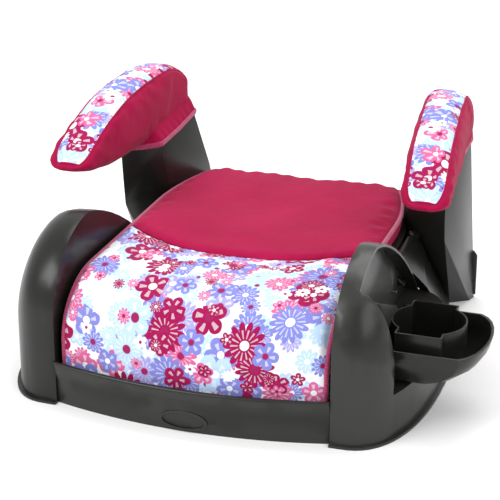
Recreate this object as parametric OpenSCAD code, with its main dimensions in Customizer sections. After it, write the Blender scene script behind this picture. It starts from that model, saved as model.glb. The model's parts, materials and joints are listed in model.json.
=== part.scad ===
// Booster seat with a fold-up cup tray.
// Backless child seat: moulded base, padded seat, two padded armrests.
// +X is the sitter's left, +Y the rear, +Z up. The origin is on the floor, mid width.

/* [Seat] */
// Clear width between the two front pods
seat_w = 300; // [290:1:310]
// Height of the seat cushion's top surface
seat_h = 131; // [129:1:135]
// Thickness of the seat foam
foam_t = 18; // [14:1:20]
// Thickness of the fabric covers
cover_t = 2; // [1.5:0.1:2.2]

/* [Base] */
// Wall thickness of the mouldings
wall = 3; // [2.5:0.1:3.2]
// Height of the front rail
rail_h = 50; // [44:1:54]
// Lean of the front rail's top edge towards the front
rail_lean = 6; // [2:1:8]

/* [Pods] */
// Height of each front pod
pod_h = 181; // [176:1:184]
// Width of each front pod, without its foot lip
pod_w = 77; // [74:1:80]
// Width of the strip left above the alcove in the right pod
rim_strip = 19; // [17:1:19]

/* [Cup tray] */
// Inner diameter of the cup ring
ring_bore = 75; // [70:1:76]
// Height of the tray's rim above the floor when open
tray_rim_z = 90; // [89:1:91]

/* [Armrests] */
// Width of each arm pad
pad_w = 52; // [48:1:53]
// Height of the pad's crest above the floor
pad_top = 271; // [268:1:274]
// Thickness of the arm foam
arm_foam_t = 10; // [8:1:10]

/* [Hidden] */
$fn = 48;
eps = 0.01;
gap = 0.3;
plastic = "#2b2b29";
magenta = "#b8305c";
floral = "#d9c3e0";

// The front of the seat follows circles about this point on the centre line
arc_y = 332;
cushion_r = 548;
rail_r = 554;
rear_y = 214;
roll_w = 76;
roll_h = 61;
cushion_half = seat_w / 2 - 7;
welt_half = 2.5;
taper_y = 85;
cushion_taper = 27.5;
deck_taper = 34;

// Pods
pod_x = seat_w / 2;
dome_x = pod_x + 10;
dome_w = pod_w - 10;
pod_front = -205;
pod_rear = 135;
pod_pivot = -30;
pod_peak = -105;
pod_shoulder = 95;
lip = 4.5;
pod_turns = [0:6:84];
alcove_y = -172;
ledge_z = 50;

// Cup tray and its hinge
hinge_x = pod_x + 45.5;
hinge_z = tray_rim_z - 12.5;
pin_d = 6;
pin_gap = 0.08;
tray_inner = pod_x + 31;
tray_front = -155;
tray_back = -34;
tray_bottom = tray_rim_z - 35;
tray_t = 2.4;
ear_t = 3.5;
ring_t = 2;
ring_x = pod_x + 74;
ring_y = -94;
ring_top = tray_rim_z + 13;

// Armrests
post_top = 187.6;
neck_y = [116, 166];
neck_z = [184, 210];
screw_y = [126, 156];
pad_tip = -44;
pad_end = 220;
pad_stations = [-43.5, -41, -36, -27, -12, 12, 45, 80, 115, 150, 175, 195, 208, 215, 219];

// ---- small helpers ----

// Stands a (y, z) outline up and extrudes it along +X from x0
module along_x(x0, len) {
    translate([x0, 0, 0]) rotate([90, 0, 90]) linear_extrude(len) children();
}

// Stands an (x, z) outline up and extrudes it along +Y from y0
module along_y(y0, len) {
    translate([0, y0 + len, 0]) rotate([90, 0, 0]) linear_extrude(len) children();
}

// Draws the right-hand child again on the left
module left() {
    mirror([1, 0, 0]) children();
}

// ---- cushion, foam and deck share one family of shapes ----

// Section (r, z) from the arc's centre outwards, shrunk by inset on all sides
function seat_section(inset, bottom) = concat(
    [[0, bottom], [0, seat_h - inset]],
    [for (a = [90:-9:0])
        [cushion_r - roll_w + (roll_w - inset) * cos(a),
         seat_h - roll_h + (roll_h - inset) * sin(a)]],
    [[cushion_r - inset, bottom]]);

// Half width at y: full at the front, tapering behind the start of the taper
function seat_half(y, half, taper) = half - taper * pow(max(0, y - taper_y) / (rear_y - taper_y), 2);

// Plan outline with rounded rear corners
function seat_plan(half, rear, taper) = let(
    side = [for (y = [-240, taper_y, 105, 125, 145, 165, 185, rear - 14]) [seat_half(y, half, taper), y]],
    cx = seat_half(rear - 14, half, taper) - 14,
    corner = [for (a = [18:24:90]) [cx + 14 * cos(a), rear - 14 + 14 * sin(a)]],
    right = concat(side, corner),
    n = len(right))
    concat(right, [for (i = [n - 1:-1:0]) [-right[i][0], right[i][1]]]);

module seat_solid(inset, bottom, half, rear, taper) {
    intersection() {
        translate([0, arc_y, 0]) rotate_extrude($fn = 96) polygon(seat_section(inset, bottom));
        translate([0, 0, -5]) linear_extrude(seat_h + 20) polygon(seat_plan(half, rear, taper));
    }
}

// Full cushion, shrunk by inset
module cushion(inset, bottom) {
    seat_solid(inset, bottom, cushion_half - inset, rear_y + 1 - inset, cushion_taper);
}

// Deck outline, wider than the cushion so that it meets the pods
module deck_solid(inset, bottom) {
    seat_solid(inset, bottom, pod_x - gap, rear_y - 0.4, deck_taper);
}

// ---- base mouldings ----

deck_inset = foam_t + cover_t + gap;
deck_r = cushion_r - deck_inset;

module seat_deck() color(plastic) {
    difference() {
        union() {
            deck_solid(deck_inset, 28);
            gutter();
        }
        difference() {
            deck_solid(deck_inset + wall, 20);
            for (x = [-pod_x - 1, pod_x - gap - wall]) translate([x, -300, 0]) cube([wall + 1, 400, 120]);
        }
        for (x = [-pod_x - 1, pod_x - 11]) pod_screw_holes(x);
    }
}

// Step in front of the deck that carries the cover's hem behind the rail
module gutter() {
    intersection() {
        translate([0, arc_y, 28]) rotate_extrude($fn = 96)
            translate([deck_r - 8, 0]) square([rail_r - wall - gap - deck_r + 8, wall]);
        translate([-pod_x + gap, -300, 0]) cube([seat_w - 2 * gap, 250, 60]);
    }
}

module pod_screw_holes(x) {
    for (y = [-140, 40]) translate([x, y, 70]) rotate([0, 90, 0]) cylinder(d = 4.4, h = 12);
}

module deck_ribs() color(plastic) {
    intersection() {
        seat_solid(deck_inset + wall + eps, 28 + wall + gap, pod_x - wall - 2 * gap, rear_y - 3, deck_taper);
        union() {
            for (x = [-70, 0, 70]) translate([x - 1.2, -230, 40]) cube([2.4, 470, 90]);
            for (y = [-110, -10, 90]) translate([-pod_x, y - 1.2, 40]) cube([seat_w, 2.4, 90]);
        }
    }
}

// Section (r, z) of the rail with its rolled top edge
function rail_section() = concat(
    [[rail_r + rail_lean * 0.3 - wall, rail_h * 0.55],
     [rail_r - wall, 0], [rail_r, 0], [rail_r + rail_lean * 0.3, rail_h * 0.55],
     [rail_r + rail_lean, rail_h - 4]],
    [for (a = [0:30:150]) [rail_r + rail_lean - 1 + 3 * cos(a), rail_h - 3 + 3 * sin(a)]],
    [[rail_r + rail_lean - wall - 1, rail_h - 8]]);

function oval(a, b) = [for (t = [0:12:348]) [a * cos(t), b * sin(t)]];

module front_rail() color(plastic) {
    intersection() {
        union() {
            translate([0, arc_y, 0]) rotate_extrude($fn = 96) polygon(rail_section());
            along_y(arc_y - rail_r - 2.2, 4) translate([0, 13]) difference() {
                polygon(oval(26, 11));
                polygon(oval(23.5, 8.5));
            }
        }
        translate([-pod_x + gap, -300, 0]) cube([seat_w - 2 * gap, 250, 80]);
    }
}

module rear_panel() color(plastic) {
    right_half = [[215.6, 3], [215.6, 54], [211, 60], [162, 62], [150, 100], [118, 108]];
    left_half = [for (i = [len(right_half) - 1:-1:0]) [-right_half[i][0], right_half[i][1]]];
    difference() {
        along_y(rear_y + gap, wall) polygon(concat(right_half, left_half));
        rear_screw_places() cylinder(d = 4.4, h = 20, center = true);
    }
}

module rear_screw_places() {
    for (x = [-180, 180], z = [20, 48]) translate([x, rear_y, z]) rotate([-90, 0, 0]) children();
}

// Sloped panel from the deck's edge out to the floor, with a belt-guide nub on top
module side_skirt() color(plastic) {
    difference() {
        union() {
            hull() {
                translate([pod_x + 1, 20, 104]) cube([7, 122, wall]);
                translate([pod_x + 54, 40, 0]) cube([wall, 1, wall]);
                translate([pod_x + 38, 180, 0]) cube([wall, 1, wall]);
            }
            hull() {
                translate([pod_x + 5, 134, 104]) sphere(d = 14, $fn = 32);
                translate([pod_x + 3, 124, 108]) sphere(d = 9, $fn = 32);
            }
        }
        pod_solid(-gap, 1);
        translate([0, 0, -1]) linear_extrude(1 + wall + gap) polygon(pod_plan(lip + gap));
        post_solid(-gap, 5);
    }
}

// ---- pods ----

// Superellipse law for the dome: how far out a slice is, and how far it is scaled down
function dome_out(a) = pow(sin(a), 0.8);
function dome_scale(a) = pow(cos(a), 0.8);

// Arch (y, z) of one slice: quarter ellipse in front, long fall to the rear
function arch(s, sink) = concat(
    [[pod_pivot + s * (pod_front - pod_pivot), -sink]],
    [for (a = [0:6:90])
        [pod_pivot + s * (pod_peak - pod_pivot + (pod_front - pod_peak) * cos(a)),
         s * (pod_shoulder + (pod_h - pod_shoulder) * sin(a))]],
    [for (a = [6:6:84])
        [pod_pivot + s * (pod_peak - pod_pivot + (pod_rear - pod_peak) * pow(sin(a), 1.48)),
         s * pod_h * pow(cos(a), 1.48)]],
    [[pod_pivot + s * (pod_rear - pod_pivot), -sink]]);

module pod_solid(inset, sink) {
    hull() {
        along_x(pod_x + inset, eps) polygon(arch(1 - inset / 175, sink));
        for (a = pod_turns) along_x(dome_x + dome_w * dome_out(a) - inset, eps)
            polygon(arch(dome_scale(a) - inset / 175, sink));
    }
}

// Foot outline at the floor, grown by g
function pod_plan(g) = let(
    front = [for (a = [0:5:90]) [dome_x + (dome_w + g) * dome_out(a), pod_pivot - (175 + g) * dome_scale(a)]],
    back = [for (a = [85:-5:0]) [dome_x + (dome_w + g) * dome_out(a), pod_pivot + (165 + g) * dome_scale(a)]])
    concat([[pod_x, pod_pivot - 175 - g]], front, back, [[pod_x, pod_pivot + 165 + g]]);

module pod_lip() {
    linear_extrude(wall) difference() {
        polygon(pod_plan(lip));
        polygon(pod_plan(-wall));
    }
}

module pod_shell() {
    difference() {
        union() {
            pod_solid(0, 0);
            pod_lip();
        }
        pod_solid(wall, 2);
        pod_screw_holes(pod_x - 5);
    }
}

module left_pod_shell() color(plastic) left() pod_shell();

module right_pod_shell() color(plastic) {
    difference() {
        pod_shell();
        translate([pod_x + rim_strip, alcove_y, ledge_z]) cube([100, 400, 200]);
    }
    intersection() {
        pod_solid(wall / 2, 0);
        translate([pod_x + 1, alcove_y - 30, ledge_z - wall]) cube([100, 400, wall]);
    }
    for (y = [tray_front - 2 * gap - ear_t, tray_back + 2 * gap]) hinge_ear(y);
    for (y = [-120, -70]) translate([hinge_x + 8.5, y, ledge_z - 1]) cube([7, 6, tray_bottom - ledge_z + 1 - gap]);
}

// Ear with the hinge bore, standing on the alcove's ledge
module hinge_ear(y) {
    difference() {
        along_y(y, ear_t) union() {
            translate([hinge_x - 8, ledge_z - 1]) square([16, hinge_z - ledge_z + 1]);
            translate([hinge_x, hinge_z]) circle(r = 8);
        }
        translate([hinge_x, y - 1, hinge_z]) rotate([-90, 0, 0]) cylinder(d = pin_d + 2 * pin_gap, h = ear_t + 2);
    }
}

module recess_liner() color(plastic) {
    x0 = pod_x + wall + gap;
    difference() {
        along_x(x0, 13) polygon([[-165, 50 + gap], [-165, 149], [-75, 105], [6, 69], [28, 50 + gap]]);
        along_x(x0 - 1, 11.5) polygon([[-162, 53], [-162, 144], [-76, 102], [4, 66.5], [18, 53]]);
    }
}

// Small hooked catch that the folded tray's rear wall snaps over
module tray_catch() color(plastic) {
    along_y(62, 8) polygon([[pod_x + wall, 68], [pod_x + wall + 8, 68], [pod_x + wall + 8, 72],
                            [pod_x + wall + 5, 73], [pod_x + wall, 78]]);
}

// ---- armrests ----

function pad_mid(y) = pod_x + 26 + (215 - y) * 0.1;
function pad_crest(y) = y < 155 ? pad_top - 63 * pow((155 - y) / 197, 2.6) : pad_top - 26 * pow((y - 155) / 62, 2);
function pad_base(y) = y < 50 ? 188 + 12 * pow((50 - y) / 92, 1.6) : 188 + 0.149 * max(0, y - 100);
function end_round(d) = d >= 1 ? 1 : pow(1 - pow(1 - d, 2.4), 1 / 2.4);
function pad_swell(y) = end_round((y - pad_tip + 1.5) / 30) * end_round((pad_end + 1.5 - y) / 20);

// Rounded-rectangle section (x, z) of the pad at y, shrunk by inset
function pad_section(y, inset) = let(
    k = pad_swell(y),
    w = max(1, (pad_w / 2) * k - inset),
    h = max(1, (pad_crest(y) - pad_base(y)) / 2 * k - inset),
    zc = (pad_crest(y) + pad_base(y)) / 2)
    [for (a = [0:15:345]) let(c = cos(a), s = sin(a))
        [pad_mid(y) + w * sign(c) * pow(abs(c), 0.62), zc + h * sign(s) * pow(abs(s), 0.62)]];

module pad_solid(inset) {
    hull() for (y = pad_stations)
        along_y(max(pad_tip + inset, min(pad_end - inset, y)), eps) polygon(pad_section(y, inset));
}

// Post corners at one height: front inner, front outer, rear outer, rear inner
module post_slice(z, fi, fo, ro, ri, inset) {
    translate([0, 0, z]) linear_extrude(eps) polygon([
        [pod_x + fi[0] + inset, fi[1] + inset], [pod_x + fo[0] - inset, fo[1] + inset],
        [pod_x + ro[0] - inset, ro[1] - inset], [pod_x + ri[0] + inset, ri[1] - inset]]);
}

// The top slopes up to the rear, as the pad's underside does
module post_solid(inset, sink) {
    hull() {
        post_slice(post_top + 16 - inset, [-2, 208], [51, 208], [51, 214], [-3, 214], inset);
        post_slice(post_top - inset, [1, 113], [47, 100], [52, 214], [-7, 214], inset);
        post_slice(136, [-3, 127], [46, 104], [52, 214], [-24, 214], inset);
        post_slice(110, [-4, 138], [46, 108], [53, 214], [-29.5, 214], inset);
        post_slice(-sink, [40, 188], [61, 203], [64, 214], [0, 214], inset);
    }
}

module arm_post() color(plastic) {
    difference() {
        union() {
            difference() {
                post_solid(0, 0);
                post_solid(wall, 1);
            }
            arm_neck(0);
        }
        arm_screw_places() cylinder(d = 4.4, h = 60, center = true);
        rear_screw_places() cylinder(d = 4.4, h = 20, center = true);
    }
}

// Block through the top of the post that reaches up into the pad
module arm_neck(grow) {
    translate([pad_mid(141) - 9 - grow, neck_y[0] - grow, neck_z[0]])
        cube([18 + 2 * grow, neck_y[1] - neck_y[0] + 2 * grow, neck_z[1] - neck_z[0] + 2 * grow]);
}

module arm_screw_places() {
    for (y = screw_y) translate([pad_mid(y), y, neck_z[0]]) children();
}

// Side outline (y, z) of the channel that stiffens the arm
beam_side = [[14, 209], [60, 207], [110, 210.4], [168, 210.4], [202, 219], [202, 236],
             [170, 248], [120, 250], [60, 240], [14, 222]];

// Beam direction: the pads splay outwards towards the front
module on_pad_line() {
    translate([pad_mid(0), 0, 0]) rotate([0, 0, 5.7]) children();
}

module arm_beam() color(plastic) {
    difference() {
        on_pad_line() difference() {
            along_x(-8, 16) polygon(beam_side);
            along_x(-5.5, 11) translate([0, 2.5]) polygon(beam_side);
        }
        arm_screw_places() cylinder(d = 3.6, h = 60, center = true);
    }
}

module arm_foam() color("#e8e4da") {
    difference() {
        pad_solid(cover_t + 0.2);
        pad_solid(arm_foam_t + cover_t);
        arm_neck(0.4);
    }
}

module arm_cover() color(floral) {
    difference() {
        pad_solid(0);
        pad_solid(cover_t);
        arm_neck(0.4);
    }
}

// Elastic cuff round the top of the post
module arm_binding() color(magenta) {
    intersection() {
        difference() {
            post_solid(-1.8, 0);
            post_solid(-0.1, 5);
        }
        translate([pod_x - 60, 90, 178.9]) rotate([9.3, 0, 0]) cube([160, 140, 5.8]);
    }
}

// ---- seat soft goods ----

module seat_foam() color("#e8e4da") {
    difference() {
        cushion(cover_t + 0.2, 46);
        deck_solid(foam_t + cover_t, 0);
    }
}

// Front edge of the magenta rear panel, seen from above
seam = [[-160, -4], [-140, -8], [-115, -34], [-75, -57], [0, -66],
        [75, -57], [115, -34], [140, -8], [160, -4]];

module seam_cut(front, shift) {
    far = front ? -300 : 300;
    translate([0, shift, 0]) linear_extrude(300) polygon(concat(seam, [[160, far], [-160, far]]));
}

module cover_shell() {
    difference() {
        cushion(0, 44);
        cushion(cover_t, 40);
        seat_solid(foam_t + cover_t, 0, pod_x + 5, rear_y + 10, 0);
        welt_band(0.15);
    }
}

// Band of the welt along the cushion's side and rear edge, grown by g
module welt_band(g) {
    intersection() {
        difference() {
            seat_solid(-1.5 - g, 46, cushion_half + 3, rear_y + 4, cushion_taper);
            seat_solid(1 + g, 0, cushion_half + 6, rear_y + 8, cushion_taper);
        }
        difference() {
            linear_extrude(300) polygon(seat_plan(cushion_half + welt_half + g, rear_y + 3 + g, cushion_taper));
            translate([0, 0, -1]) linear_extrude(302)
                polygon(seat_plan(cushion_half - welt_half - g, rear_y - 2 - g, cushion_taper));
        }
    }
}

module seat_cover_front() color(floral) {
    intersection() {
        cover_shell();
        seam_cut(true, -0.1);
    }
}

module seat_cover_rear() color(magenta) {
    intersection() {
        cover_shell();
        seam_cut(false, 0.1);
    }
}

module seat_welt() color("#c8487c") welt_band(0);

// ---- cup tray, drawn open ----

// Tray outline; kx and ky pull its outer end and sides in, g grows it
function tray_plan(kx, ky, x_in, g) = let(
    cy = (tray_front + tray_back) / 2,
    end = [for (a = [-70:14:70]) [244 + 46 * pow(cos(a), 0.6), cy + 64 * sin(a)]])
    concat(
        [[x_in - g, cy + (tray_front - cy) * ky - g]],
        [for (p = end) [pod_x + 48 + (p[0] - 198) * kx + g, cy + (p[1] - cy) * ky + g * sign(p[1] - cy)]],
        [[x_in - g, cy + (tray_back - cy) * ky + g]]);

module tray_bowl(g, lift) {
    hull() {
        translate([0, 0, tray_rim_z - 1 + lift]) linear_extrude(1) polygon(tray_plan(1, 1, tray_inner, g));
        translate([0, 0, tray_rim_z - 10]) linear_extrude(1) polygon(tray_plan(0.975, 0.995, tray_inner, g));
        translate([0, 0, tray_rim_z - 19]) linear_extrude(1) polygon(tray_plan(0.91, 0.98, tray_inner, g));
        translate([0, 0, tray_bottom + 6]) linear_extrude(1) polygon(tray_plan(0.74, 0.94, tray_inner, g));
        translate([0, 0, tray_bottom - g]) linear_extrude(1)
            polygon(tray_plan(0.5, 0.88, tray_inner + 6, g));
    }
}

module cup_tray() color(plastic) {
    difference() {
        tray_bowl(0, 0);
        tray_bowl(-tray_t, 2);
    }
    for (y = [tray_front + 0.5, tray_back - 0.5]) hinge_pin(y, y < ring_y ? -1 : 1);
}

// Stub pin on the tray's wall, pointing out along dir
module hinge_pin(y, dir) {
    translate([hinge_x, y, hinge_z]) rotate([-90 * dir, 0, 0]) {
        cylinder(d = pin_d, h = 2 * gap + ear_t + 0.8);
        translate([0, 0, -4]) cylinder(d = pin_d + 4, h = 4);
    }
}

module ring_outline(g) {
    translate([ring_x, ring_y]) circle(d = ring_bore + 2 * g, $fn = 64);
    translate([ring_x - 24.5 - g, ring_y - 42 - g]) square([45 + 2 * g, 84 + 2 * g]);
}

module cup_ring() color(plastic) {
    floor_z = tray_bottom + tray_t + 0.3;
    difference() {
        translate([0, 0, floor_z]) linear_extrude(ring_top - floor_z) difference() {
            ring_outline(ring_t);
            ring_outline(0);
        }
        difference() {
            translate([pod_x, -250, 0]) cube([300, 300, tray_rim_z + 0.2]);
            tray_bowl(-tray_t - 0.25, 2);
        }
    }
}

// ---- fasteners ----

module rear_screws() color("silver") {
    rear_screw_places() {
        translate([0, 0, wall + gap]) cylinder(d = 9, h = 2.4);
        translate([0, 0, -9]) cylinder(d = 4, h = 9 + wall + gap + 0.5);
    }
}

module pod_screws() color("silver") {
    for (side = [-1, 1], y = [-140, 40]) translate([side * (pod_x - wall - gap), y, 70]) rotate([0, side * 90, 0]) {
        translate([0, 0, -2.4]) cylinder(d = 9, h = 2.4);
        cylinder(d = 4, h = 11);
    }
}

module arm_screws() color("silver") {
    for (side = [0, 1]) mirror([side, 0, 0]) arm_screw_places() {
        translate([0, 0, -2.4]) cylinder(d = 9, h = 2.4);
        translate([0, 0, -0.5]) cylinder(d = 3.4, h = 33);
    }
}

// Plastic hooks on elastic loops that pull the cover down behind the rear panel
module cover_hooks() color(plastic) {
    for (x = [-90, 90]) {
        translate([x - 6, rear_y + 2 * gap + wall, 96]) cube([12, 3, 14]);
        translate([x - 6, rear_y + 2 * gap + wall, 93]) cube([12, 8, 3]);
    }
}

module left_side_skirt() left() side_skirt();
module right_side_skirt() side_skirt();
module left_arm_post() left() arm_post();
module right_arm_post() arm_post();
module left_arm_beam() left() arm_beam();
module right_arm_beam() arm_beam();
module left_arm_foam() left() arm_foam();
module right_arm_foam() arm_foam();
module left_arm_cover() left() arm_cover();
module right_arm_cover() arm_cover();
module left_arm_binding() left() arm_binding();
module right_arm_binding() arm_binding();

seat_deck();
deck_ribs();
front_rail();
rear_panel();
left_side_skirt();
right_side_skirt();
left_pod_shell();
right_pod_shell();
recess_liner();
tray_catch();
left_arm_post();
right_arm_post();
left_arm_beam();
right_arm_beam();
left_arm_foam();
right_arm_foam();
left_arm_cover();
right_arm_cover();
left_arm_binding();
right_arm_binding();
seat_foam();
seat_cover_front();
seat_cover_rear();
seat_welt();
cup_tray();
cup_ring();
rear_screws();
pod_screws();
arm_screws();
cover_hooks();
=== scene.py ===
"""Booster seat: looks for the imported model. Metres, in the CAD model's frame."""
import json
import math

import bmesh
import bpy
import numpy as np
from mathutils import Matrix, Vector


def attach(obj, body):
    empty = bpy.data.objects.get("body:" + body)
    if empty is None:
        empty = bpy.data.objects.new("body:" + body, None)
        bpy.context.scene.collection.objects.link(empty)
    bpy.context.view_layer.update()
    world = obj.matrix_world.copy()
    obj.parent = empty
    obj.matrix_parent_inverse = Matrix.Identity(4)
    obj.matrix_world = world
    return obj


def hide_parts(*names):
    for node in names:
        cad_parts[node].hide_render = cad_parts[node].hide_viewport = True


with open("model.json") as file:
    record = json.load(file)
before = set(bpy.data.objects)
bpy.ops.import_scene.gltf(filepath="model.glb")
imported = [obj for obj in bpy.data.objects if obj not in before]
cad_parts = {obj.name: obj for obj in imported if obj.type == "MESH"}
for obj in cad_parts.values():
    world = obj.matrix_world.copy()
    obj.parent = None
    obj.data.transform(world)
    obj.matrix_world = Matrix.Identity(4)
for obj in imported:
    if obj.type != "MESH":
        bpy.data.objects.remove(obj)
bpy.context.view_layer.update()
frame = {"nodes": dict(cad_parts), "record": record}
NODES = frame["nodes"]

# ---- sizes that follow the CAD model, in metres ----
ARC_Y = 0.332            # centre of the circles that the seat's front follows
CUSHION_R = 0.548        # radius of the cushion's front about that centre
ROLL_W, ROLL_H = 0.076, 0.061
SEAT_Z = 0.131
SEAT_HALF = 0.143
SEAT_REAR = 0.215
SEAT_FLOOR = 0.1115      # lower edge of the cushion at its sides and rear
POD_X = 0.150
PAD_TOP = 0.271
PAD_W = 0.052
PAD_TIP, PAD_END = -0.044, 0.220
TAPER_Y = 0.085          # where the cushion starts to narrow towards the rear
COVER_T = 0.0012         # drawn thickness of a cloth panel

# ---- limits on how far a cover may leave its CAD surface, in metres ----
SEAT_PUFF, PAD_PUFF = 0.004, 0.002
SEAT_DENT, PAD_DENT = 0.0009, 0.0006
SEAT_CLEAR, PAD_CLEAR = 0.0004, 0.0007


# ---- camera ----

def add_camera():
    azimuth, elevation, distance = math.radians(18.3), math.radians(21.8), 1.891
    target = Vector((-0.005, 0.009, 0.112))
    back = Vector((math.sin(azimuth) * math.cos(elevation),
                   -math.cos(azimuth) * math.cos(elevation),
                   math.sin(elevation)))
    data = bpy.data.cameras.new("camera")
    data.sensor_width = 36.0
    data.lens = 121.2
    data.clip_start = 0.05
    camera = bpy.data.objects.new("camera", data)
    camera.location = target + back * distance
    camera.rotation_euler = (-back).to_track_quat("-Z", "Y").to_euler()
    bpy.context.scene.collection.objects.link(camera)
    bpy.context.scene.camera = camera


# ---- node graph helper ----

class Graph:
    """Short calls for building one material's nodes."""

    def __init__(self, name):
        self.material = bpy.data.materials.new(name)
        self.material.use_nodes = True
        self.tree = self.material.node_tree
        self.shader = self.tree.nodes["Principled BSDF"]

    def put(self, socket, value):
        if hasattr(value, "is_output"):
            self.tree.links.new(value, socket)
        else:
            socket.default_value = value

    def node(self, kind, **props):
        node = self.tree.nodes.new("ShaderNode" + kind)
        for key, value in props.items():
            setattr(node, key, value)
        return node

    def math(self, operation, a, b=0.0, c=0.0, clamp=False):
        node = self.node("Math", operation=operation, use_clamp=clamp)
        for socket, value in zip(node.inputs, (a, b, c)):
            self.put(socket, value)
        return node.outputs[0]

    def vector(self, operation, a, b=(0.0, 0.0, 0.0), scale=None):
        node = self.node("VectorMath", operation=operation)
        self.put(node.inputs[0], a)
        self.put(node.inputs[1], b)
        if scale is not None:
            self.put(node.inputs["Scale"], scale)
        return node.outputs["Value"] if operation in ("LENGTH", "DOT_PRODUCT") else node.outputs[0]

    def mix(self, factor, a, b, blend="MIX"):
        node = self.node("Mix", data_type="RGBA", blend_type=blend)
        self.put(node.inputs[0], factor)
        self.put(node.inputs[6], a)
        self.put(node.inputs[7], b)
        return node.outputs[2]

    def ramp(self, factor, stops, constant=False):
        node = self.node("ValToRGB")
        node.color_ramp.interpolation = "CONSTANT" if constant else "LINEAR"
        elements = node.color_ramp.elements
        while len(elements) < len(stops):
            elements.new(0.5)
        for element, (at, colour) in zip(elements, stops):
            element.position = at
            element.color = colour
        self.put(node.inputs[0], factor)
        return node.outputs[0]

    def uv(self, name="cloth"):
        return self.node("UVMap", uv_map=name).outputs[0]

    def position(self):
        return self.node("TexCoord").outputs["Object"]

    def noise(self, vector, scale, detail=3.0, rough=0.5):
        node = self.node("TexNoise")
        self.put(node.inputs["Vector"], vector)
        self.put(node.inputs["Scale"], scale)
        self.put(node.inputs["Detail"], detail)
        self.put(node.inputs["Roughness"], rough)
        return node.outputs[0]

    def bump(self, height, strength, distance, normal=None):
        node = self.node("Bump")
        self.put(node.inputs["Strength"], strength)
        self.put(node.inputs["Distance"], distance)
        self.put(node.inputs["Height"], height)
        if normal is not None:
            self.put(node.inputs["Normal"], normal)
        return node.outputs[0]

    def shade(self, **inputs):
        for key, value in inputs.items():
            self.put(self.shader.inputs[key.replace("_", " ")], value)
        return self.material


def rgb(r, g, b):
    """Linear colour from 0-255 display values."""
    return tuple(((c / 255) / 12.92 if c <= 10 else ((c / 255 + 0.055) / 1.055) ** 2.4)
                 for c in (r, g, b)) + (1.0,)


# ---- materials ----

def moulded_plastic(name):
    g = Graph(name)
    place = g.position()
    grain = g.noise(place, 1500.0, 2.0)
    drift = g.noise(place, 14.0, 4.0)
    tone = g.ramp(drift, [(0.3, rgb(20, 20, 18)), (0.75, rgb(28, 28, 26))])
    # Painted highlight: sharp convex edges (high pointiness) are mixed towards a lighter grey.
    edge = g.node("NewGeometry").outputs["Pointiness"]
    edge_highlight = g.math("MULTIPLY", g.math("SUBTRACT", edge, 0.52), 6.0, clamp=True)
    tone = g.mix(g.math("MULTIPLY", edge_highlight, 0.30), tone, rgb(62, 62, 59))
    roughness = g.math("ADD", g.math("MULTIPLY", drift, 0.14), 0.23)
    normal = g.bump(grain, 0.10, 0.0004)
    return g.shade(Base_Color=tone, Roughness=roughness, Specular_IOR_Level=0.34, Normal=normal)


def weave_height(g, uv, threads):
    """Over-and-under weave of the given threads per metre."""
    cells = g.vector("SCALE", uv, scale=threads)
    split = g.node("SeparateXYZ")
    g.put(split.inputs[0], cells)
    warp = g.math("SINE", g.math("MULTIPLY", split.outputs[0], 2 * math.pi))
    weft = g.math("SINE", g.math("MULTIPLY", split.outputs[1], 2 * math.pi))
    return g.math("MULTIPLY", warp, weft)


def cloth_finish(g, colour, uv):
    """Woven polyester: weave bump, soft creases and a slight fuzz."""
    weave = weave_height(g, uv, 900.0)
    fleck = g.noise(uv, 700.0, 2.0)
    shade = g.ramp(fleck, [(0.3, (0.45, 0.45, 0.45, 1)), (0.7, (1, 1, 1, 1))])
    colour = g.mix(0.10, colour, shade, "MULTIPLY")
    crease = g.noise(uv, 55.0, 4.0, 0.55)
    normal = g.bump(crease, 0.35, 0.0020)
    normal = g.bump(weave, 0.12, 0.0002, normal)
    return g.shade(Base_Color=colour, Roughness=0.85, Specular_IOR_Level=0.12, Sheen_Weight=0.06,
                   Sheen_Roughness=0.5, Normal=normal)


def magenta_cloth(name, dark=1.0):
    g = Graph(name)
    uv = g.uv()
    drift = g.noise(uv, 9.0, 3.0)
    low = tuple(c * dark for c in rgb(150, 4, 58)[:3]) + (1.0,)
    high = tuple(c * dark for c in rgb(166, 8, 68)[:3]) + (1.0,)
    return cloth_finish(g, g.ramp(drift, [(0.35, low), (0.7, high)]), uv)


MAGENTA = rgb(152, 14, 76)
ROSE = rgb(206, 98, 146)
PERIWINKLE = rgb(124, 128, 200)
LILAC = rgb(160, 154, 214)
ICE = rgb(178, 204, 236)
WHITE = rgb(232, 234, 240)


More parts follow.
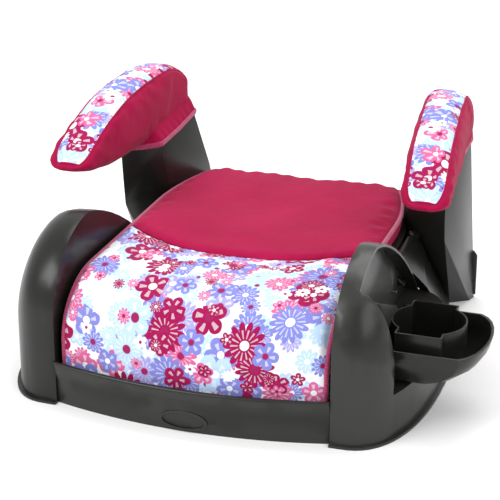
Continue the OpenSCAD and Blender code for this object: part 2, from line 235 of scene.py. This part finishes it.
def flower_layer(g, uv, base, cell, shift, fill, size, palette, petals, depth=0.45, sharp=0.6):
    """Flowers on jittered cells: petal counts, turns and colours vary from cell to cell."""
    place = g.vector("SCALE", g.vector("ADD", uv, shift), scale=1.0 / cell)
    cells = g.node("TexVoronoi", voronoi_dimensions="2D", feature="F1")
    g.put(cells.inputs["Vector"], place)
    g.put(cells.inputs["Scale"], 1.0)
    g.put(cells.inputs["Randomness"], 0.62)
    apart = g.vector("SUBTRACT", place, cells.outputs["Position"])
    xy = g.node("SeparateXYZ")
    g.put(xy.inputs[0], apart)
    draws = g.node("SeparateColor")
    g.put(draws.inputs[0], cells.outputs["Color"])
    pick, turn, keep = draws.outputs[0], draws.outputs[1], draws.outputs[2]
    radius = g.math("POWER", g.math("ADD", g.math("MULTIPLY", xy.outputs[0], xy.outputs[0]),
                                    g.math("MULTIPLY", xy.outputs[1], xy.outputs[1])), 0.5)
    angle = g.math("ARCTAN2", xy.outputs[1], xy.outputs[0])
    angle = g.math("ADD", angle, g.math("MULTIPLY", turn, 6.283))
    odd = g.math("GREATER_THAN", g.math("FRACT", g.math("MULTIPLY", pick, 7.31)), 0.5)
    count = g.math("ADD", float(petals[0]), g.math("MULTIPLY", odd, float(petals[1] - petals[0])))
    lobe = g.math("ABSOLUTE", g.math("COSINE", g.math("MULTIPLY", angle, g.math("MULTIPLY", count, 0.5))))
    lobe = g.math("POWER", lobe, sharp)
    grow = g.math("ADD", 0.82, g.math("MULTIPLY", g.math("FRACT", g.math("MULTIPLY", pick, 3.7)), 0.18))
    reach = g.math("MULTIPLY", g.math("MULTIPLY", grow, size),
                   g.math("ADD", 1.0 - depth, g.math("MULTIPLY", lobe, depth)))
    inside = g.math("MULTIPLY", g.math("SUBTRACT", reach, radius), 40.0 * cell / 0.03, clamp=True)
    inside = g.math("MULTIPLY", inside, g.math("LESS_THAN", keep, fill))
    step = 1.0 / len(palette)
    colour = g.ramp(g.math("FRACT", g.math("MULTIPLY", pick, 5.13)),
                    [(i * step, c) for i, c in enumerate(palette)], constant=True)
    share = g.math("DIVIDE", radius, size)
    vein = g.math("MULTIPLY", g.math("GREATER_THAN", lobe, 0.93),
                  g.math("MULTIPLY", g.math("GREATER_THAN", share, 0.28), g.math("LESS_THAN", share, 0.62)))
    colour = g.mix(g.math("MULTIPLY", vein, 0.45), colour, WHITE)
    heart = g.math("MULTIPLY", g.math("SUBTRACT", 0.22, share), 30.0, clamp=True)
    warm = g.math("GREATER_THAN", g.math("FRACT", g.math("MULTIPLY", turn, 9.7)), 0.5)
    colour = g.mix(heart, colour, g.mix(warm, WHITE, rgb(150, 30, 84)))
    return g.mix(inside, base, colour)


def floral_cloth(name):
    g = Graph(name)
    uv = g.uv()
    print_ = WHITE
    layers = (
        (0.027, (0.013, 0.007, 0), 0.95, 0.52, (ICE, WHITE, ICE, ICE), (8, 10), 0.35),
        (0.025, (0.051, 0.043, 0), 0.70, 0.50, (LILAC, ROSE, ICE, PERIWINKLE), (12, 5), 0.5),
        (0.036, (0.087, 0.021, 0), 0.72, 0.52, (PERIWINKLE, LILAC, ROSE, PERIWINKLE), (5, 14), 0.42),
        (0.043, (0.117, 0.093, 0), 0.62, 0.54, (MAGENTA, MAGENTA, PERIWINKLE, ICE), (5, 14), 0.42),
        (0.031, (0.153, 0.171, 0), 0.42, 0.50, (MAGENTA, ROSE, PERIWINKLE), (5, 12), 0.45),
        (0.019, (0.191, 0.137, 0), 0.34, 0.44, (MAGENTA, ROSE, WHITE), (10, 5), 0.5))
    for cell, shift, fill, size, palette, petals, depth in layers:
        print_ = flower_layer(g, uv, print_, cell, shift, fill, size, palette, petals, depth)
    return cloth_finish(g, print_, uv)


def ribbed_band(name, pitch):
    """Narrow ribbed binding; its UV runs along the band in metres."""
    g = Graph(name)
    uv = g.uv()
    split = g.node("SeparateXYZ")
    g.put(split.inputs[0], uv)
    rib = g.math("SINE", g.math("MULTIPLY", split.outputs[1], 2 * math.pi / pitch))
    level = g.math("MULTIPLY_ADD", rib, 0.5, 0.5)
    colour = g.mix(level, rgb(140, 12, 66), rgb(196, 66, 116))
    normal = g.bump(level, 0.6, 0.0008)
    return g.shade(Base_Color=colour, Roughness=0.78, Sheen_Weight=0.3, Normal=normal)


def plain_metal(name):
    g = Graph(name)
    brushed = g.noise(g.position(), 900.0, 2.0)
    return g.shade(Base_Color=rgb(170, 170, 168), Metallic=1.0,
                   Roughness=g.math("MULTIPLY_ADD", brushed, 0.2, 0.25))


def open_foam(name):
    g = Graph(name)
    pores = g.noise(g.position(), 1200.0, 4.0)
    return g.shade(Base_Color=g.ramp(pores, [(0.3, rgb(196, 190, 174)), (0.7, rgb(232, 228, 216))]),
                   Roughness=0.95, Normal=g.bump(pores, 0.6, 0.0008))


# ---- mesh helpers ----

def link_mesh(name, points, faces, uvs=None):
    mesh = bpy.data.meshes.new(name)
    mesh.from_pydata([tuple(p) for p in points], [], [tuple(f) for f in faces])
    mesh.polygons.foreach_set("use_smooth", [True] * len(mesh.polygons))
    if uvs is not None:
        layer = mesh.uv_layers.new(name="cloth")
        corner = np.zeros(len(mesh.loops), int)
        mesh.loops.foreach_get("vertex_index", corner)
        layer.data.foreach_set("uv", np.asarray(uvs, np.float32)[corner].ravel())
    mesh.update()
    obj = bpy.data.objects.new(name, mesh)
    bpy.context.scene.collection.objects.link(obj)
    return obj


def grid_faces(rows, cols, wrap=False, keep=None):
    """Quads of a grid with rows x cols points, optionally closed across its columns."""
    faces = []
    for i in range(rows - 1):
        for j in range(cols if wrap else cols - 1):
            k = (j + 1) % cols
            if keep is None or keep(i, j):
                faces.append((i * cols + j, i * cols + k, (i + 1) * cols + k, (i + 1) * cols + j))
    return faces


def mesh_points(obj):
    co = np.zeros(len(obj.data.vertices) * 3)
    obj.data.vertices.foreach_get("co", co)
    return co.reshape(-1, 3)


def set_points(obj, co):
    obj.data.vertices.foreach_set("co", np.asarray(co, np.float32).ravel())
    obj.data.update()


def point_normals(obj):
    no = np.zeros(len(obj.data.vertices) * 3)
    obj.data.vertices.foreach_get("normal", no)
    return no.reshape(-1, 3)


def inflate(obj, pins, pressure, shrink, cap, frames=20):
    """Runs cloth under pressure, and keeps the outward part of its moves up to cap metres."""
    rest = mesh_points(obj)
    normal = point_normals(obj)
    group = obj.vertex_groups.new(name="pins")
    for value in sorted(set(np.round(pins, 2))):
        group.add([int(i) for i in np.nonzero(np.round(pins, 2) == value)[0]], float(value), "REPLACE")
    modifier = obj.modifiers.new("Cloth", "CLOTH")
    cloth = modifier.settings
    cloth.quality = 6
    cloth.mass = 0.15
    cloth.tension_stiffness = 12
    cloth.compression_stiffness = 8
    cloth.bending_stiffness = 0.25
    cloth.use_pressure = True
    cloth.uniform_pressure_force = pressure
    cloth.shrink_min = shrink
    cloth.vertex_group_mass = "pins"
    cloth.effector_weights.gravity = 0.0
    modifier.point_cache.frame_start = 1
    modifier.point_cache.frame_end = frames
    scene = bpy.context.scene
    for step in range(1, frames + 1):
        scene.frame_set(step)
    shaped = obj.evaluated_get(bpy.context.evaluated_depsgraph_get())
    moved = np.zeros(len(shaped.data.vertices) * 3)
    shaped.data.vertices.foreach_get("co", moved)
    out = np.sum((moved.reshape(-1, 3) - rest) * normal, axis=1)
    move = normal * np.clip(out, 0.0, cap)[:, None]
    obj.modifiers.remove(modifier)
    obj.vertex_groups.remove(group)
    scene.frame_set(1)
    set_points(obj, rest + move)


def waves(points, scale, seed, octaves=2):
    """Smooth repeatable noise from a few summed sines, about -1 to 1."""
    rng = np.random.default_rng(seed)
    total = np.zeros(len(points))
    for octave in range(octaves):
        for _ in range(5):
            direction = rng.normal(size=3)
            direction /= np.linalg.norm(direction)
            phase = rng.uniform(0, 2 * math.pi)
            total += np.sin(points @ direction * (2 * math.pi * (octave + 1) / scale) + phase) / (octave + 1)
    return total / (3.0 * octaves)


def finish_piece(obj, material, body, nodes=(), subdivide=0):
    obj.data.materials.append(material)
    if subdivide:
        modifier = obj.modifiers.new("Subdivision", "SUBSURF")
        modifier.levels = modifier.render_levels = subdivide
    if nodes:
        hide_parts(*nodes)
    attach(obj, body)
    return obj


# ---- seat cushion ----

def seam_y(x):
    """Front edge of the plain rear panel, seen from above."""
    return -0.066 + 0.060 * np.abs(x / 0.143) ** 2.4


def seat_half(y):
    return SEAT_HALF - 0.0275 * (np.maximum(0.0, y - TAPER_Y) / 0.129) ** 2


SEAT_COLS = 68


def seat_rows():
    """Row kinds from the rear's lower edge, over the top, to the hem behind the rail."""
    rows = [("back", t) for t in np.linspace(0, 1, 5)[:-1]]
    rows += [("corner", t) for t in np.linspace(0, 1, 6)[:-1]]
    rows += [("rear", t) for t in np.linspace(0, 1, 46)[:-1]]
    rows += [("front", t) for t in np.linspace(0, 1, 24)[:-1]]
    rows += [("roll", t) for t in np.linspace(0, 1, 24)[:-1]]
    rows += [("drop", t) for t in np.linspace(0, 1, 6)]
    return rows


def seat_profile(kind, t, x):
    """Point and outward normal on the cushion's outer surface at side position x, before crowning."""
    corner = 0.013
    start = CUSHION_R - ROLL_W
    if kind == "back":
        return SEAT_REAR, SEAT_FLOOR + (SEAT_Z - corner - SEAT_FLOOR) * t, (1.0, 0.0)
    if kind == "corner":
        a = t * math.pi / 2
        return (SEAT_REAR - corner * (1 - math.cos(a)), SEAT_Z - corner * (1 - math.sin(a)),
                (math.cos(a), math.sin(a)))
    front_y = ARC_Y - math.sqrt(start ** 2 - x ** 2)
    if kind == "rear":
        return (SEAT_REAR - corner) * (1 - t) + float(seam_y(x)) * t, SEAT_Z, (0.0, 1.0)
    if kind == "front":
        return float(seam_y(x)) * (1 - t) + front_y * t, SEAT_Z, (0.0, 1.0)
    if kind == "roll":
        a = t * math.pi / 2
        r = start + ROLL_W * math.sin(a)
        z = SEAT_Z - ROLL_H * (1 - math.cos(a))
        return ARC_Y - math.sqrt(r ** 2 - x ** 2), z, (-math.sin(a), math.cos(a))
    return (ARC_Y - math.sqrt(CUSHION_R ** 2 - x ** 2), SEAT_Z - ROLL_H - (SEAT_Z - ROLL_H - 0.040) * t,
            (-1.0, 0.0))


def seat_columns():
    """(x share, inset) across the cushion: side band, rounded edge, top, and mirrored."""
    band = [(1.0, 0.018), (1.0, 0.012), (1.0, 0.007)]
    turn = [(1.0 - 0.030 * (1 - math.cos(a)), 0.004 * (1 - math.sin(a)))
            for a in (0.0, 0.5, 1.0, math.pi / 2)]
    top = [(x, 0.0) for x in np.linspace(0.97, -0.97, SEAT_COLS)[1:-1]]
    right = band + turn
    left = [(-x, d) for x, d in reversed(right)]
    return right + top + left


def build_seat_grid():
    rows, cols = seat_rows(), seat_columns()
    points, uvs = [], []
    along = 0.0
    last = None
    for kind, t in rows:
        centre = seat_profile(kind, t, 0.0)
        if last is not None:
            along += math.hypot(centre[0] - last[0], centre[1] - last[1])
        last = centre
        for share, inset in cols:
            x = share * SEAT_HALF
            for _ in range(4):
                y, z, (ny, nz) = seat_profile(kind, t, x)
                x = share * float(seat_half(y))
            points.append((x, y - ny * inset, z - nz * inset))
            side = 0.0 if inset == 0 else math.copysign(inset, x)
            uvs.append((x + side, along))
    return rows, cols, np.array(points), np.array(uvs)


def build_seat(materials):
    rows, cols, points, uvs = build_seat_grid()
    n_rows, n_cols = len(rows), len(cols)
    obj = link_mesh("seat_whole", points, grid_faces(n_rows, n_cols), uvs)
    share = np.array([abs(c[0]) for c in cols])
    inset = np.array([c[1] for c in cols])
    kinds = np.array([k for k, _ in rows])
    seam_row = int(np.nonzero(kinds == "front")[0][0])
    edge = np.clip((1.0 - share) / 0.10, 0, 1)
    edge[inset > 0] = 0.0
    row_at = np.arange(n_rows)
    crown_row = np.ones(n_rows)
    crown_row[kinds == "back"] = 0.0
    crown_row[kinds == "drop"] = 0.0
    away = np.clip(np.abs(row_at - seam_row) / 9.0, 0, 1)
    first_top = int(np.nonzero(kinds == "rear")[0][0])
    rise = np.clip((row_at - first_top + 5) / 14.0, 0, 1)
    roll_rows = np.nonzero(kinds == "roll")[0]
    fall = np.clip((roll_rows[-1] + 4 - row_at) / 16.0, 0, 1)
    ends = np.sin(rise * math.pi / 2) * np.sin(fall * math.pi / 2)
    lift = np.outer(crown_row * (0.55 + 0.45 * away) * ends,
                    np.sin(np.clip(edge * 1.2, 0, 1) * math.pi / 2) * (1 - 0.45 * share ** 4)).ravel()
    set_points(obj, mesh_points(obj) + point_normals(obj) * (lift * 0.0045)[:, None])
    pins = np.zeros((n_rows, n_cols))
    pins[:, (inset > 0) | (share > 0.95)] = 1.0
    pins[kinds == "back", :] = 1.0
    pins[kinds == "drop", :] = 1.0
    pins[seam_row, :] = 0.55
    inflate(obj, pins.ravel(), 3.2, -0.035, SEAT_PUFF)
    soften_seat(obj, uvs, share, seam_row, n_rows, n_cols)
    return split_seat(obj, materials, seam_row, n_rows, n_cols, uvs)


def soften_seat(obj, uvs, share, seam_row, n_rows, n_cols):
    """Gathers beside the seam and the rear edge, slight waves, and a groove where the panels are sewn."""
    row = np.repeat(np.arange(n_rows), n_cols)
    edge = np.tile(np.clip((1.0 - share) / 0.06, 0, 1), n_rows)
    co = mesh_points(obj)
    normal = point_normals(obj)
    behind = uvs[seam_row * n_cols + n_cols // 2, 1] - uvs[:, 1]
    apart = np.abs(behind)
    gather = np.sin(uvs[:, 0] * 2 * math.pi / 0.017 + 2.5 * waves(co * [1, 0.2, 1], 0.10, 5))
    gather *= np.exp(-apart / 0.016) * np.where(behind > 0, 1.0, 0.35)
    gather *= 0.35 + 0.65 * np.clip(waves(co, 0.13, 8) + 0.5, 0, 1)
    hem = np.sin(uvs[:, 0] * 2 * math.pi / 0.021 + 2.0 * waves(co * [1, 0.3, 1], 0.12, 15))
    hem *= np.exp(-np.abs(uvs[:, 1] - uvs[9 * n_cols, 1]) / 0.018)
    groove = -np.exp(-((row - seam_row) / 0.9) ** 2)
    ripple = waves(co, 0.085, 11)
    move = (0.0011 * gather + 0.0009 * hem + 0.0012 * groove + 0.0010 * ripple) * edge
    set_points(obj, co + normal * (np.maximum(move, -SEAT_DENT) + SEAT_CLEAR)[:, None])


def split_seat(obj, materials, seam_row, n_rows, n_cols, uvs):
    co = mesh_points(obj)
    bpy.data.objects.remove(obj)
    rear = slice(0, (seam_row + 1) * n_cols)
    front = slice(seam_row * n_cols, n_rows * n_cols)
    pieces = []
    for name, part, material, slot, node in (
            ("seat_rear_panel", rear, materials["magenta"], "magenta_fabric", "seat_cover_rear"),
            ("seat_front_panel", front, materials["floral"], "floral_fabric", "seat_cover_front")):
        points = co[part]
        piece = link_mesh(name, points, grid_faces(len(points) // n_cols, n_cols), uvs[part])
        thick = piece.modifiers.new("Thickness", "SOLIDIFY")
        thick.thickness = COVER_T
        thick.offset = -1.0
        pieces.append(finish_piece(piece, material, "base", (node,), subdivide=1))
    return pieces, co.reshape(n_rows, n_cols, 3)


def tube(name, path, radius, closed=False, sides=10, flat=1.0):
    """Tube along the path; UV runs round (u) and along (v) in metres."""
    path = np.asarray(path, float)
    n = len(path)
    ahead = np.roll(path, -1, 0) - np.roll(path, 1, 0) if closed else np.gradient(path, axis=0)
    ahead /= np.linalg.norm(ahead, axis=1, keepdims=True)
    side = np.cross(ahead, np.array((0.0, 0.0, 1.0)))
    for i in range(n):
        if np.linalg.norm(side[i]) < 0.2:
            side[i] = side[i - 1] if i else np.array((1.0, 0.0, 0.0))
    side /= np.linalg.norm(side, axis=1, keepdims=True)
    over = np.cross(side, ahead)
    steps = np.linalg.norm(np.diff(path, axis=0), axis=1)
    along = np.concatenate([[0], np.cumsum(steps)])
    points, uvs = [], []
    for i in range(n):
        for k in range(sides):
            a = 2 * math.pi * k / sides
            points.append(path[i] + radius * (math.cos(a) * side[i] + flat * math.sin(a) * over[i]))
            uvs.append((radius * a, along[i]))
    faces = grid_faces(n, sides, wrap=True)
    if closed:
        faces += [((n - 1) * sides + j, (n - 1) * sides + (j + 1) % sides, (j + 1) % sides, j)
                  for j in range(sides)]
    else:
        faces += [tuple(reversed(range(sides))), tuple((n - 1) * sides + k for k in range(sides))]
    return link_mesh(name, points, [tuple(reversed(f)) for f in faces], uvs)


def resample(path, step):
    """Even steps along a smooth path, through its own points."""
    path = np.asarray(path, float)
    lengths = np.concatenate([[0], np.cumsum(np.linalg.norm(np.diff(path, axis=0), axis=1))])
    count = max(2, int(lengths[-1] / step))
    at = np.linspace(0, lengths[-1], count)
    return np.stack([np.interp(at, lengths, path[:, k]) for k in range(3)], 1)


def build_welt(grid, material):
    """Ribbed welt along both side edges and across the rear edge, on the sewn cover."""
    cols = seat_columns()
    rows = seat_rows()
    edge_col = next(i for i, c in enumerate(cols) if 0 < c[1] < 0.0035)
    right = grid[:, edge_col]
    left = grid[:, len(cols) - 1 - edge_col]
    rear_row = next(i for i, r in enumerate(rows) if r[0] == "corner" and r[1] > 0.35)
    rear = grid[rear_row, edge_col:len(cols) - edge_col]
    path = np.concatenate([right[:rear_row:-1], rear, left[rear_row + 1:]])
    path = resample(path, 0.004)
    welt = tube("seat_welt_band", path, 0.0029, sides=12)
    return finish_piece(welt, material, "base", ("seat_welt",), subdivide=1)


# ---- arm pads ----

def pad_mid(y):
    return POD_X + 0.026 + (0.215 - y) * 0.1


def pad_crest(y):
    ahead = np.maximum(0.155 - y, 0) / 0.197
    behind = np.maximum(y - 0.155, 0) / 0.062
    return PAD_TOP - 0.063 * ahead ** 2.6 - 0.026 * behind ** 2


def pad_base(y):
    return 0.188 + 0.012 * (np.maximum(0.050 - y, 0) / 0.092) ** 1.6 + 0.149 * np.maximum(0, y - 0.100)


def end_round(d):
    return (1 - (1 - np.clip(d, 0, 1)) ** 2.4) ** (1 / 2.4)


PAD_STATIONS = 84
PAD_RING = 56


def pad_grid():
    """Ring points of the right pad, station by station from the tip to the rear."""
    t = np.linspace(0, 1, PAD_STATIONS)
    y = PAD_TIP + (PAD_END - PAD_TIP) * (0.5 - 0.5 * np.cos(math.pi * (0.01 + 0.98 * t)))
    swell = end_round((y - PAD_TIP + 0.0005) / 0.030) * end_round((PAD_END + 0.0005 - y) / 0.020)
    a = np.linspace(0, 2 * math.pi, PAD_RING, endpoint=False) + math.pi / PAD_RING
    c, s = np.cos(a), np.sin(a)
    half_w = (PAD_W / 2 * swell)[:, None]
    half_h = ((pad_crest(y) - pad_base(y)) / 2 * swell)[:, None]
    mid_z = ((pad_crest(y) + pad_base(y)) / 2)[:, None]
    x = pad_mid(y)[:, None] + half_w * np.sign(c) * np.abs(c) ** 0.62
    z = mid_z + half_h * np.sign(s) * np.abs(s) ** 0.62
    yy = np.repeat(y[:, None], PAD_RING, 1)
    return np.stack([x, yy, z], 2), a


def build_pad(side, materials):
    """One arm cover: printed top over the crest and rear end, plain sides and nose."""
    name = "right" if side > 0 else "left"
    grid, ring = pad_grid()
    rows, cols = grid.shape[:2]
    points = grid.reshape(-1, 3).copy()
    cap_front = len(points)
    points = np.vstack([points, grid[0].mean(0), grid[-1].mean(0)])
    faces = grid_faces(rows, cols, wrap=True)
    faces += [(cap_front, (j + 1) % cols, j) for j in range(cols)]
    last = (rows - 1) * cols
    faces += [(cap_front + 1, last + j, last + (j + 1) % cols) for j in range(cols)]
    obj = link_mesh(name + "_pad_whole", points, [tuple(reversed(f)) for f in faces])
    top_cols = (np.sin(ring) > 0.70)
    seam_cols = [int(np.nonzero(top_cols)[0][0]), int(np.nonzero(top_cols)[0][-1])]
    seam_row = 6
    pins = np.zeros(len(points))
    for c in seam_cols:
        pins[np.arange(seam_row, rows) * cols + c] = 0.8
    low = (points[:, 2] < 0.212) & (points[:, 2] < pad_base(points[:, 1]) + 0.003)
    under = low & (points[:, 1] > 0.10)
    pins[under] = 1.0
    inflate(obj, pins, 3.0, -0.05, PAD_PUFF)
    co = mesh_points(obj)
    normal = point_normals(obj)
    diagonal = (co[:, 1] * 0.75 + co[:, 2] * 1.0) * 2 * math.pi / 0.026
    fold = np.sin(diagonal + 3.0 * waves(co, 0.12, 21 + int(side)))
    grid_sin = np.concatenate([np.tile(np.abs(np.sin(ring)), rows), [0, 0]])
    on_side = np.clip((0.75 - grid_sin) / 0.4, 0, 1)
    move = 0.0010 * fold * on_side * np.clip(waves(co, 0.16, 4) + 0.6, 0, 1) + 0.0007 * waves(co, 0.07, 31)
    co = co + normal * (np.maximum(move, -PAD_DENT) + PAD_CLEAR)[:, None]
    if side < 0:
        co[:, 0] *= -1
    along = np.concatenate([[0], np.cumsum(np.linalg.norm(np.diff(grid.mean(1), axis=0), axis=1))])
    step = np.linalg.norm(np.roll(grid, -1, 1) - grid, axis=2).mean(0).cumsum()
    uvs = np.stack([np.tile(step, rows), np.repeat(along, cols)], 1)
    uvs = np.vstack([uvs, [step.mean(), along[0]], [step.mean(), along[-1]]])
    bpy.data.objects.remove(obj)

    def is_top(i, j):
        return seam_cols[0] <= j < seam_cols[1] and i >= seam_row

    top_faces = grid_faces(rows, cols, wrap=True, keep=is_top)
    side_faces = grid_faces(rows, cols, wrap=True, keep=lambda i, j: not is_top(i, j))
    side_faces += faces[rows * cols - cols:]
    flip = (lambda f: tuple(reversed(f))) if side > 0 else (lambda f: f)
    pieces = []
    for label, part, material, slot, nodes in (
            ("top", top_faces, materials["floral"], "floral_fabric", (name + "_arm_cover",)),
            ("sides", side_faces, materials["magenta_arm"], "magenta_fabric", ())):
        piece = link_mesh(f"{name}_arm_{label}_panel", co, [flip(f) for f in part], uvs)
        drop_loose(piece)
        thick = piece.modifiers.new("Thickness", "SOLIDIFY")
        thick.thickness = COVER_T
        thick.offset = -1.0
        pieces.append(finish_piece(piece, material, "base", nodes, subdivide=1))
    seam = [co[i * cols + seam_cols[0]] for i in range(rows - 1, seam_row, -1)]
    seam += [co[seam_row * cols + j] for j in range(seam_cols[0], seam_cols[1] + 1)]
    seam += [co[i * cols + seam_cols[1]] for i in range(seam_row + 1, rows)]
    cord = tube(name + "_arm_seam", resample(seam, 0.004), 0.0011, sides=8)
    pieces.append(finish_piece(cord, materials["magenta_arm"], "base"))
    return pieces


def cuff_path(side):
    """Line round the top of the post, with a small peak over the post's ridge."""
    outline = [(0.0515, 0.2150), (0.0530, 0.2120), (0.0505, 0.1600), (0.0480, 0.1035),
               (0.0465, 0.0995), (0.0430, 0.1002), (0.0240, 0.1060), (0.0045, 0.1115),
               (0.0005, 0.1140), (-0.0005, 0.1180), (-0.0040, 0.1650), (-0.0070, 0.2120),
               (-0.0060, 0.2150)]
    path = []
    for x, y in outline:
        peak = 0.003 * math.exp(-((x - 0.001) ** 2 + (y - 0.114) ** 2) / 0.012 ** 2)
        path.append((side * (POD_X + x), y, 0.1822 + (y - 0.090) * 0.1638 + peak))
    path.append(path[0])
    return resample(path, 0.003)[:-1]


def build_cuff(side, materials):
    """Ribbed elastic round the post, and the plain skirt that joins it to the pad."""
    name = "right" if side > 0 else "left"
    path = cuff_path(side)
    cuff = tube(name + "_arm_cuff", path, 0.0017, closed=True, sides=14, flat=1.9)
    finish_piece(cuff, materials["band"], "base", (name + "_arm_binding",), subdivide=1)
    steps = np.linalg.norm(np.roll(path, -1, 0) - path, axis=1)
    along = np.concatenate([[0], np.cumsum(steps)])
    y = np.clip(path[:, 1], 0.100, 0.2105)
    mid = pad_mid(y)
    across = np.clip((np.abs(path[:, 0]) - (POD_X + 0.0235)) / 0.0245, -1, 1)
    upper = np.stack([side * (mid + across * (PAD_W / 2 - 0.003)), y, pad_base(y) + 0.019], 1)
    rows, points, uvs = 9, [], []
    closed = list(range(len(path))) + [0]
    for i in range(rows):
        t = i / (rows - 1)
        line = path * (1 - t) + upper * t
        out = np.sin(math.pi * t) * 0.0012
        line = line + np.stack([side * across * out, np.zeros(len(path)), np.zeros(len(path))], 1)
        strength = 0.0006 * math.sin(math.pi * min(1.0, t + 0.25))
        tuck = strength * np.sin(along[:-1] * 2 * math.pi / 0.013 + 4.0 * t)
        line[:, 0] += side * np.sign(across) * tuck
        points.append(line[closed])
        uvs += [(a, 0.03 * t) for a in along]
    skirt = link_mesh(name + "_arm_skirt", np.concatenate(points), grid_faces(rows, len(closed)), uvs)
    thick = skirt.modifiers.new("Thickness", "SOLIDIFY")
    thick.thickness = 0.0008
    thick.offset = 0.0
    finish_piece(skirt, materials["magenta_arm"], "base", subdivide=1)


def drop_loose(obj):
    """Removes the points that no face of this panel uses."""
    bm = bmesh.new()
    bm.from_mesh(obj.data)
    bmesh.ops.delete(bm, geom=[v for v in bm.verts if not v.link_faces], context="VERTS")
    bm.to_mesh(obj.data)
    bm.free()


# ---- CAD nodes that stay ----

def dress_nodes(materials):
    looks = {"foam": materials["foam"], "steel": materials["steel"],
             "charcoal_plastic": materials["plastic"], "magenta_fabric": materials["band"],
             "floral_fabric": materials["floral"]}
    slots = {s["node"]: s["material_slot"] for s in frame["record"]["subparts"]}
    for name, node in NODES.items():
        node.data.materials.clear()
        node.data.materials.append(looks[slots[name]])
        if slots[name] != "charcoal_plastic":
            continue
        weld = node.modifiers.new("Weld", "WELD")
        weld.merge_threshold = 0.00002
        bevel = node.modifiers.new("Bevel", "BEVEL")
        bevel.width = 0.0012
        bevel.segments = 3
        bevel.limit_method = "ANGLE"
        bevel.angle_limit = math.radians(32)
        bevel.harden_normals = True
        node.data.polygons.foreach_set("use_smooth", [True] * len(node.data.polygons))


# ---- stage ----

def add_stage():
    size, g = 6.0, Graph("stage_paper")
    paper = g.shade(Base_Color=(0.90, 0.90, 0.90, 1.0), Roughness=0.9)
    floor = link_mesh("floor", [(-size, -size, 0), (size, -size, 0), (size, size, 0), (-size, size, 0)],
                      [(0, 1, 2, 3)])
    floor.data.materials.append(paper)
    world = bpy.data.worlds.new("studio")
    world.use_nodes = True
    background = world.node_tree.nodes["Background"]
    background.inputs[0].default_value = (1.0, 1.0, 1.0, 1.0)
    background.inputs[1].default_value = 0.85
    bpy.context.scene.world = world
    for name, place, size, power in (("key", (-0.9, -1.3, 1.5), 1.0, 22.0),
                                     ("fill", (1.5, -0.9, 1.1), 1.2, 12.0),
                                     ("top", (0.1, 0.7, 1.7), 1.2, 16.0)):
        light = bpy.data.lights.new(name, "AREA")
        light.size = size
        light.energy = power
        lamp = bpy.data.objects.new(name, light)
        lamp.location = place
        lamp.rotation_euler = (Vector((0, 0, 0.1)) - Vector(place)).to_track_quat("-Z", "Y").to_euler()
        bpy.context.scene.collection.objects.link(lamp)


def main():
    add_camera()
    bpy.context.scene.view_settings.view_transform = "Standard"
    materials = {
        "plastic": moulded_plastic("moulded_plastic"),
        "magenta": magenta_cloth("magenta_cloth"),
        "magenta_arm": magenta_cloth("magenta_arm_cloth", 0.95),
        "floral": floral_cloth("floral_cloth"),
        "band": ribbed_band("ribbed_band", 0.0018),
        "foam": open_foam("open_foam"),
        "steel": plain_metal("zinc_steel"),
    }
    dress_nodes(materials)
    _, grid = build_seat(materials)
    build_welt(grid, materials["band"])
    for side in (1, -1):
        build_pad(side, materials)
        build_cuff(side, materials)
    add_stage()


main()
